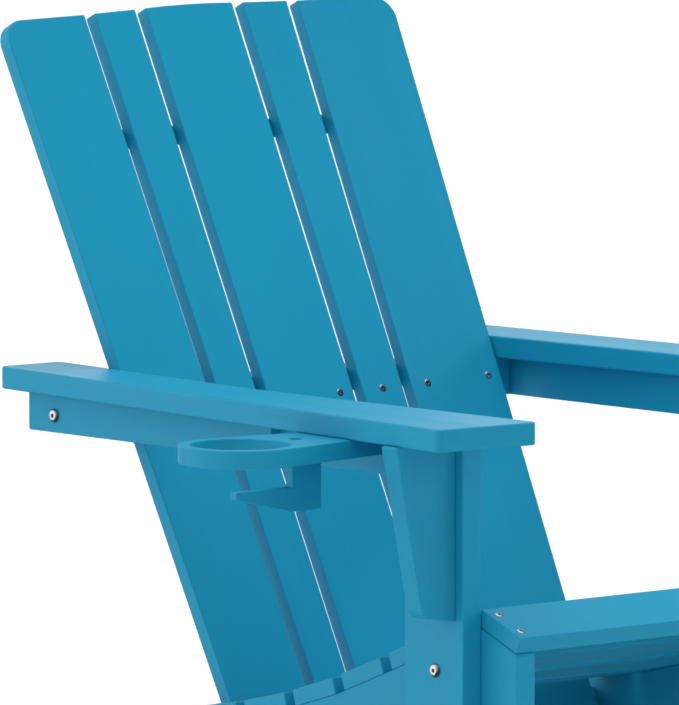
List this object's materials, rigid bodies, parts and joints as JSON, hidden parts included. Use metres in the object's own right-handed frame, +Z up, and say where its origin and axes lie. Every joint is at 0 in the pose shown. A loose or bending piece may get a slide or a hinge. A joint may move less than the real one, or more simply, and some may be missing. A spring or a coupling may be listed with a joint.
{
  "type": "adirondack chair",
  "caption": "Adirondack chair of flat poly-lumber boards with a fanned, leaning slat back, sloping slat seat, wide flared arms and a fixed ring cup holder under one arm.",
  "frame": {"origin": "middle of the whole chair's footprint box (cup holder included), on the floor", "axes": "+Z up, the sitter faces -Y, +X is the sitter's left; the cup holder is on the -X side"},
  "size_m": [0.8978, 0.8624, 0.8984],
  "materials": {
    "lumber_blue": "satin blue poly lumber with a faint lengthwise grain",
    "stainless": "brushed stainless steel"
  },
  "bodies": {
    "root": {"arm_right": "lumber_blue", "arm_left": "lumber_blue", "front_leg_right": "lumber_blue", "front_leg_left": "lumber_blue", "arm_gusset_right": "lumber_blue", "arm_gusset_left": "lumber_blue", "arm_rail_right": "lumber_blue", "arm_rail_left": "lumber_blue", "arm_cleat": "lumber_blue", "seat_slat_1": "lumber_blue", "seat_slat_2": "lumber_blue", "seat_slat_3": "lumber_blue", "seat_slat_4": "lumber_blue", "seat_slat_5": "lumber_blue", "seat_slat_6": "lumber_blue", "seat_slat_7": "lumber_blue", "stringer_right": "lumber_blue", "stringer_left": "lumber_blue", "back_slat_1": "lumber_blue", "back_slat_2": "lumber_blue", "back_slat_3": "lumber_blue", "back_slat_4": "lumber_blue", "back_slat_5": "lumber_blue", "arm_cross_board": "lumber_blue", "lower_back_rail": "lumber_blue", "upper_back_batten": "lumber_blue", "corner_block_right": "lumber_blue", "corner_block_left": "lumber_blue", "cup_ring_plate": "lumber_blue", "cup_rest": "lumber_blue", "seat_slat_screws": "stainless", "cup_rest_screws": "stainless", "cup_plate_screws": "stainless", "leg_bolts": "stainless", "leg_bolt_nuts": "stainless", "rail_bolts": "stainless", "lower_rail_bolts": "stainless", "back_slat_screws": "stainless", "lower_back_screws": "stainless", "batten_screws": "stainless", "arm_screws": "stainless", "gusset_screws": "stainless", "cross_board_screws": "stainless"}
  },
  "joints": []
}
